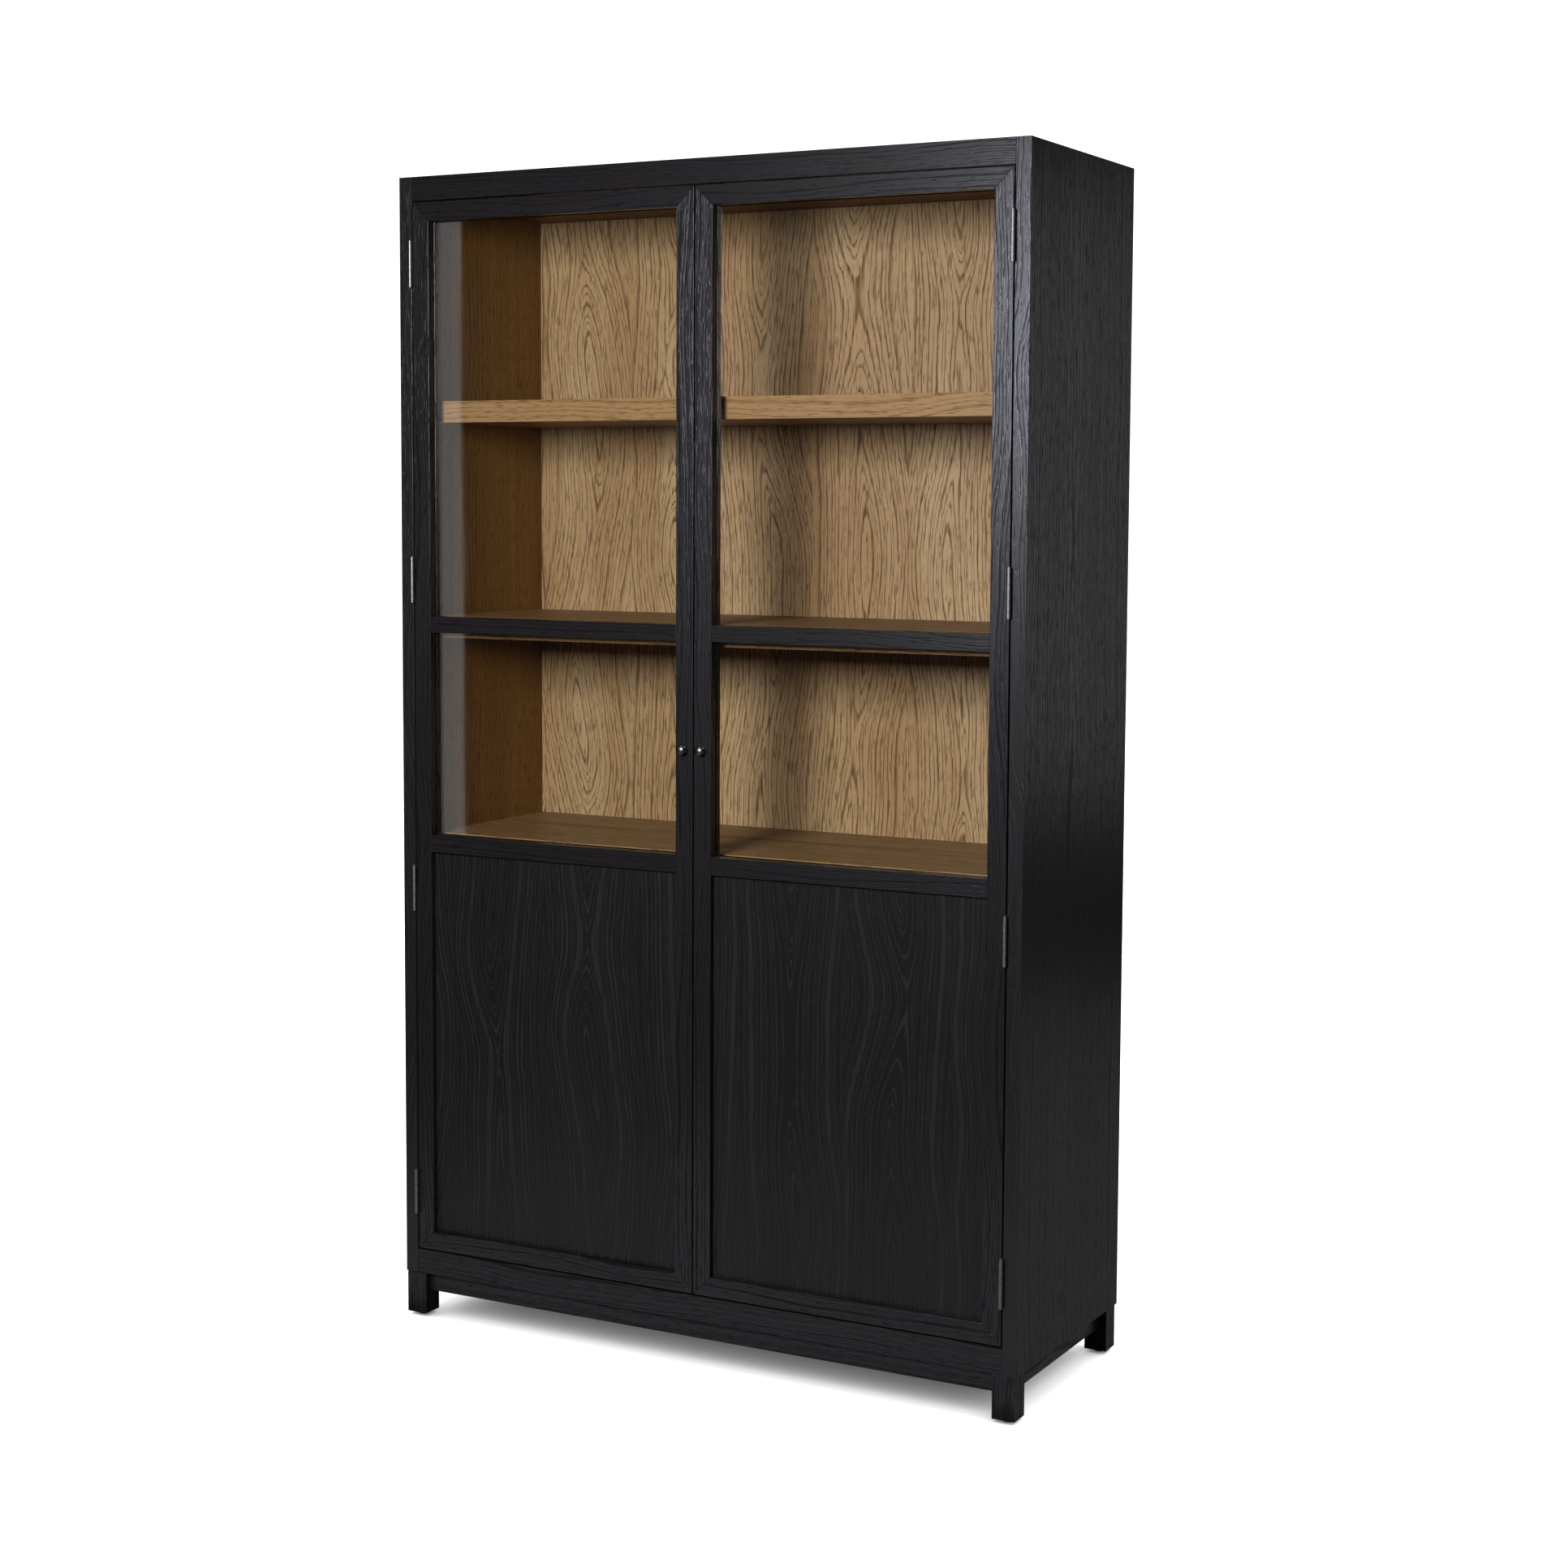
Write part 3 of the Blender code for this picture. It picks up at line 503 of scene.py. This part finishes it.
# radius as a share of the CAD knob's, and distance in front of the door: foot, waist and head
KNOB_PROFILE = [(0.70, 0.0003), (0.70, 0.0012), (0.62, 0.0020), (0.50, 0.0029), (0.43, 0.0042), (0.42, 0.0060),
                (0.46, 0.0078), (0.57, 0.0096), (0.74, 0.0111), (0.89, 0.0122), (0.97, 0.0132), (1.0, 0.0143),
                (0.985, 0.0151), (0.94, 0.0158)]
KNOB_FACE_RADIUS, KNOB_FACE_START, KNOB_DOME = 0.90, 0.0161, 0.0026
KNOB_SIDES = 48


def new_piece(name, bm, body, material, smooth_degrees=30):
    """One visible piece from bm that rides on the body, with edges sharper than smooth_degrees kept crisp."""
    bmesh.ops.recalc_face_normals(bm, faces=bm.faces)
    mesh = bpy.data.meshes.new(name)
    bm.to_mesh(mesh)
    bm.free()
    mesh.materials.append(material)
    piece = bpy.data.objects.new(name, mesh)
    bpy.context.scene.collection.objects.link(piece)
    mesh.shade_smooth()
    mesh.set_sharp_from_angle(angle=math.radians(smooth_degrees))
    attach(piece, body)
    return piece


def turn_to(axis):
    """The turn that takes +Z to the axis."""
    return Vector((0, 0, 1)).rotation_difference(Vector(axis)).to_matrix()


def circle(radius, height, sides):
    angles = [2 * math.pi * step / sides for step in range(sides)]
    return [Vector((radius * math.cos(angle), radius * math.sin(angle), height)) for angle in angles]


def wall(bm, lower, upper):
    """Faces between two loops of as many vertices."""
    for step in range(len(lower)):
        after = (step + 1) % len(lower)
        bm.faces.new((lower[step], lower[after], upper[after], upper[step]))


def turned(bm, profile, centre, axis, sides=SCREW_SIDES):
    """A closed solid of revolution. profile is a list of (radius, distance along the axis)."""
    turn = turn_to(axis)
    rings = [[bm.verts.new(Vector(centre) + turn @ point) for point in circle(radius, distance, sides)]
             for radius, distance in profile]
    for lower, upper in zip(rings, rings[1:]):
        wall(bm, lower, upper)
    bm.faces.new(rings[0][::-1])
    bm.faces.new(rings[-1])


def screw_head(bm, centre, axis, radius, proud, sunk, spin_degrees):
    """A countersunk head with a cross recess: a low rim, a flat face, and a cross sunk into it."""
    turn = turn_to(axis)
    spin = Matrix.Rotation(math.radians(spin_degrees), 3, "Z")

    def placed(points):
        return [bm.verts.new(Vector(centre) + turn @ (spin @ point)) for point in points]

    def cross(height, share):
        arm, half = 0.60 * radius * share, 0.15 * radius * share
        corners = ((arm, -half), (arm, half), (half, half), (half, arm), (-half, arm), (-half, half),
                   (-arm, half), (-arm, -half), (-half, -half), (-half, -arm), (half, -arm), (half, -half))
        return placed(Vector((x, y, height)) for x, y in corners)

    foot, rim, face = (placed(circle(size, height, SCREW_SIDES)) for size, height in (
        (radius * 0.8, -sunk), (radius, 0.0), (radius * 0.93, proud)))
    mouth, recess_floor = cross(proud, 1.0), cross(proud * 0.15, 0.7)
    wall(bm, foot, rim)
    wall(bm, rim, face)
    wall(bm, recess_floor, mouth)
    bm.faces.new(foot[::-1])
    bm.faces.new(recess_floor)
    edges = [bm.edges.get((start, end)) for loop in (face, mouth) for start, end in zip(loop, loop[1:] + loop[:1])]
    bmesh.ops.triangle_fill(bm, use_beauty=True, use_dissolve=False, edges=edges)


def hinge_screws(material):
    """Three screws in each hinge leaf. way is 1 for the case's leaf and -1 for the door's."""
    for hinge in frame["joints"]:
        body = hinge["child"]
        word = body.removeprefix("door_")
        side = 1 if word == "right" else -1
        for number in range(1, HINGES_PER_DOOR + 1):
            low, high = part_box(f"hinge_case_leaf_{word}_{number}")
            middle = (low.z + high.z) / 2
            for way, leaf, owner in ((1, "case", "carcass"), (-1, "door", body)):
                bm = bmesh.new()
                x = hinge["pos_m"][0] + side * way * LEAF_FACE
                for row, depth in zip((-1, 0, 1), HINGE_SCREW_DEPTHS):
                    place = (x, FRONT + depth, middle + row * HINGE_SCREW_RISE)
                    spin = 17.0 + 31.0 * row + 23.0 * number + 40.0 * way
                    screw_head(bm, place, (-side * way, 0, 0), HINGE_SCREW_RADIUS, HINGE_SCREW_PROUD,
                               HINGE_SCREW_SUNK, spin)
                new_piece(f"{leaf}_screws_{word}_{number}", bm, owner, material)


def knob_screw(side, word, material):
    """The screw and washer behind a door's knob."""
    low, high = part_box(f"knob_{word}")
    x, z = (low.x + high.x) / 2, (low.z + high.z) / 2
    bm = bmesh.new()
    turned(bm, WASHER, (x, DOOR_BACK, z), INTO_CASE, WASHER_SIDES)
    screw_head(bm, (x, DOOR_BACK + WASHER[-1][1], z), INTO_CASE, KNOB_SCREW_RADIUS, KNOB_SCREW_PROUD,
               KNOB_SCREW_SUNK, 35.0 * side)
    new_piece(f"knob_screw_{word}", bm, f"door_{word}", material)


def strip_screws(word, material):
    """The small screws of the frame behind a door's glass."""
    low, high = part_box(f"retaining_frame_{word}")
    inset = STRIP_WIDE / 2
    columns = (low.x + inset, high.x - inset)
    bm = bmesh.new()

    def screw(x, z, spin):
        screw_head(bm, (x, DOOR_BACK, z), INTO_CASE, STRIP_SCREW_RADIUS, STRIP_SCREW_PROUD, STRIP_SCREW_SUNK, spin)

    for x in columns:
        for row in range(STRIP_SCREW_ROWS):
            share = (row + 0.5) / STRIP_SCREW_ROWS
            screw(x, low.z + share * (high.z - low.z), 53.0 * row)
    for z in (low.z + inset, high.z - inset):
        for column in range(1, STRIP_SCREW_COLUMNS + 1):
            share = column / (STRIP_SCREW_COLUMNS + 1)
            screw(columns[0] + share * (columns[1] - columns[0]), z, 29.0 * column)
    new_piece(f"strip_screws_{word}", bm, f"door_{word}", material)


def strike_plate(side, word, material):
    """The magnet's plate at the top of a door's back: rounded corners, eased rim and one screw."""
    catch_low, catch_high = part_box("magnetic_catch")
    far = catch_high.x - PLATE_SMALLER
    low_z, high_z = catch_low.z + PLATE_SMALLER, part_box(f"door_top_rail_{word}")[1].z - PLATE_BELOW_TOP
    middle = Vector((side * (PLATE_NEAR + far) / 2, DOOR_BACK + PLATE_PROUD, (low_z + high_z) / 2))
    bm = bmesh.new()
    plate = bmesh.ops.create_cube(bm, size=1.0)["verts"]
    bmesh.ops.scale(bm, vec=(far - PLATE_NEAR, PLATE_THICK, high_z - low_z), verts=plate)
    bmesh.ops.translate(bm, vec=middle, verts=plate)
    corners = [edge for edge in bm.edges if abs(edge.verts[0].co.y - edge.verts[1].co.y) > PLATE_THICK / 2]
    bmesh.ops.bevel(bm, geom=corners, offset=PLATE_CORNER, segments=4, affect="EDGES")
    rim = [edge for edge in bm.edges if min(v.co.y for v in edge.verts) > middle.y + PLATE_THICK * 0.45]
    bmesh.ops.bevel(bm, geom=rim, offset=PLATE_ARRIS, segments=1, affect="EDGES")
    screw_head(bm, (middle.x, middle.y + PLATE_THICK / 2, middle.z), INTO_CASE, PLATE_SCREW_RADIUS,
               PLATE_SCREW_PROUD, PLATE_SCREW_SUNK, 12.0)
    new_piece(f"strike_plate_{word}", bm, f"door_{word}", material)


def turned_knobs(material):
    """A foot, a waisted neck and a round head with a shallow domed face. They stand for the plain CAD knobs."""
    for _, word in SIDES:
        low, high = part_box(f"knob_{word}")
        wide = (high.x - low.x) / 2
        profile = list(KNOB_PROFILE)
        for step in range(1, 10):
            share = 1 - step / 9.3
            profile.append((KNOB_FACE_RADIUS * share, KNOB_FACE_START + KNOB_DOME * (1 - share * share)))
        bm = bmesh.new()
        place = ((low.x + high.x) / 2, FRONT, (low.z + high.z) / 2)
        turned(bm, [(radius * wide, proud) for radius, proud in profile], place, OUT_OF_CASE, KNOB_SIDES)
        knob = new_piece(f"turned_knob_{word}", bm, f"door_{word}", material, 60)
        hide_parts(f"knob_{word}")


def shelf_pins(material):
    """Four steel pins with chamfered ends and a turned groove under each adjustable shelf."""
    tip, groove = PIN_RADIUS * 0.7, PIN_RADIUS * 0.88
    profile = [(tip, -0.0095), (PIN_RADIUS, -0.0088), (PIN_RADIUS, -0.0012), (groove, -0.0009),
               (groove, -0.0003), (PIN_RADIUS, 0.0), (PIN_RADIUS, 0.0086), (tip, 0.0095)]
    for shelf in ("upper_shelf_adjustable", "base_shelf_adjustable"):
        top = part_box(shelf)[1].z
        bm = bmesh.new()
        for side, _ in SIDES:
            for depth in PIN_DEPTHS:
                turned(bm, profile, (side * INNER_X, FRONT + depth, top - PIN_BELOW_TOP), (-side, 0, 0))
        new_piece(f"pins_{shelf}", bm, "carcass", material)


# ---------------------------------------------------------------- floor, light and camera
FLOOR_RADIUS, FLOOR_SIDES = 14.0, 96
FLOOR_GLOW = 0.10
FIBRE_SCALE, FIBRE_GREYS = (90.0, 90.0, 90.0), ((0.84, 0.84, 0.84, 1.0), (0.88, 0.88, 0.88, 1.0))
AROUND, BACKDROP = 0.020, 1.4  # the world's strength as light, and as the camera sees it

# name: place, the point it is turned to, size, and the radiance of its face
AREA_LIGHTS = {
    "key": ((0.32, -3.4, 2.10), (0.0, 0.0, 1.6), (1.04, 0.82), 77.0),
    "rim": ((2.7, 3.6, 1.62), (0.65, 0.0, 1.5), (1.2, 2.1), 0.95),
    "card": ((-3.408, -4.2, 1.60), (0.0, 0.0, 1.60), (0.10, 2.60), 0.90),  # mirrored in the left door's glass
    "bounce_front": ((0.0, -0.95, 0.002), (0.0, -0.95, 1.0), (2.6, 1.3), 0.55),
    "bounce_right": ((1.60, 1.7, 0.002), (1.60, 1.7, 1.0), (1.9, 4.2), 0.19),
}
# strength and degrees across
WHITENER = (7.6, 150)  # lights the floor alone
OVERHEAD = (1.5, 25)

# the case's back, sides and top each have a round lamp of their own
# name: strength, degrees across, where it comes from, and the nodes it falls on
FACE_LIGHTS = {
    "behind": (6.0, 40, (0.25, 1.0, 0.3), ("back_panel", "apron_rear")),
    "left": (6.0, 40, (-1.0, 0.5, 0.3), ("side_panel_left", "apron_left")),
    "above": (4.0, 40, (0.0, 0.6, 1.0), ("top_panel",)),
    "right": (0.8, 50, (1.0, 0.0, 0.05), ("side_panel_right", "apron_right")),
}

CAMERA_X, CAMERA_AHEAD, CAMERA_Z = 2.3631, 4.0480, 1.5914
TURN_DEGREES, DOWN_DEGREES, ROLL_DEGREES = 28.272, 4.652, 0.280
SENSOR_MM, LENS_MM = 36.0, 59.68
SHIFT_Y = -0.045
CLIP = (0.05, 60.0)


def build_floor():
    """A round sheet of pale paper. It lights nothing, and nothing mirrors it."""
    bm = bmesh.new()
    bmesh.ops.create_circle(bm, cap_ends=True, segments=FLOOR_SIDES, radius=FLOOR_RADIUS)
    mesh = bpy.data.meshes.new("floor")
    bm.to_mesh(mesh)
    bm.free()
    floor = bpy.data.objects.new("floor", mesh)
    bpy.context.scene.collection.objects.link(floor)
    made, graph, shader = new_material("floor_paper", (0.9, 0.9, 0.9), Roughness=0.9, Specular_IOR_Level=0.1,
                                       Emission_Color=WHITE, Emission_Strength=FLOOR_GLOW)
    fibre = graph.noise(graph.scaled(graph.object_place(), FIBRE_SCALE), 3.0)
    graph.put(shader.inputs["Base Color"], graph.mix(fibre, *FIBRE_GREYS))
    mesh.materials.append(made)
    floor.visible_diffuse = False
    floor.visible_glossy = False
    return floor


def area_light(name, place, target, size, radiance):
    """A rectangular soft light, hidden from the camera, whose face has the radiance given."""
    data = bpy.data.lights.new(name, "AREA")
    data.shape = "RECTANGLE"
    data.size, data.size_y = size
    data.energy = radiance * math.pi * size[0] * size[1]
    light = bpy.data.objects.new(name, data)
    bpy.context.scene.collection.objects.link(light)
    light.location = place
    light.rotation_euler = (Vector(target) - Vector(place)).to_track_quat("-Z", "Y").to_euler()
    light.visible_camera = False
    return light


def sun_light(name, strength, degrees):
    """A round soft light that spans the angle given, from straight above until it is turned."""
    data = bpy.data.lights.new(name, "SUN")
    data.energy = strength
    data.angle = math.radians(degrees)
    light = bpy.data.objects.new(name, data)
    bpy.context.scene.collection.objects.link(light)
    return light


def receivers(name, pieces, state="INCLUDE"):
    """A collection for a light's linking: only these pieces, or all but these."""
    group = bpy.data.collections.new(name)
    for piece in pieces:
        group.objects.link(piece)
    for entry in group.collection_objects:
        entry.light_linking.link_state = state
    return group


def build_world():
    """A dim white surround that the camera sees as a plain white backdrop."""
    world = bpy.data.worlds.new("studio")
    bpy.context.scene.world = world
    world.use_nodes = True
    graph = Graph(world.node_tree)
    around = world.node_tree.nodes["Background"]
    around.inputs["Color"].default_value = WHITE
    around.inputs["Strength"].default_value = AROUND
    backdrop = graph.add("ShaderNodeBackground", {"Color": WHITE, "Strength": BACKDROP}).outputs[0]
    seen = graph.add("ShaderNodeLightPath").outputs["Is Camera Ray"]
    joined = graph.add("ShaderNodeMixShader", {0: seen, 1: around.outputs[0], 2: backdrop}).outputs[0]
    graph.put(world.node_tree.nodes["World Output"].inputs["Surface"], joined)


def build_light(floor):
    panes = [NODES[node] for node in NODES if node.startswith("glass")]
    spared = receivers("spared", [floor, *panes], "EXCLUDE")  # no lit floor, and no mirrored lamp in the panes
    areas = {name: area_light(name, *plan) for name, plan in AREA_LIGHTS.items()}
    areas["key"].light_linking.receiver_collection = spared
    whitener = sun_light("whitener", *WHITENER)
    whitener.light_linking.receiver_collection = receivers("lit_by_whitener", [floor])
    overhead = sun_light("overhead", *OVERHEAD)
    overhead.light_linking.receiver_collection = spared
    for name, (strength, degrees, towards, nodes) in FACE_LIGHTS.items():
        light = sun_light(name, strength, degrees)
        light.rotation_euler = Vector(towards).to_track_quat("Z", "Y").to_euler()
        light.light_linking.receiver_collection = receivers(f"lit_from_{name}", [NODES[node] for node in nodes])


def build_camera():
    """The camera, CAMERA_AHEAD in front of the doors' face, turned to the left and a little down."""
    data = bpy.data.cameras.new("camera")
    data.sensor_width = SENSOR_MM
    data.lens = LENS_MM
    data.shift_y = SHIFT_Y
    data.clip_start, data.clip_end = CLIP
    camera = bpy.data.objects.new("camera", data)
    bpy.context.scene.collection.objects.link(camera)
    camera.location = (CAMERA_X, FRONT - CAMERA_AHEAD, CAMERA_Z)
    turn = Matrix.Rotation(math.radians(TURN_DEGREES), 4, "Z")
    tilt = Matrix.Rotation(math.radians(90.0 - DOWN_DEGREES), 4, "X")
    roll = Matrix.Rotation(math.radians(ROLL_DEGREES), 4, "Z")
    camera.rotation_euler = (turn @ tilt @ roll).to_euler()
    bpy.context.scene.camera = camera


bpy.context.scene.view_settings.view_transform = "Standard"
build_camera()
build_world()
build_light(build_floor())
finish_wood()
finish_hardware()
screws = metal("steel", rgb(150, 149, 146), rgb(104, 101, 96), (0.25, 0.5))
hinge_screws(screws)
for side, word in SIDES:
    knob_screw(side, word, screws)
    strip_screws(word, screws)
    strike_plate(side, word, screws)
shelf_pins(screws)
turned_knobs(metal("knob_iron", rgb(84, 84, 86), rgb(66, 65, 64), (0.32, 0.46)))
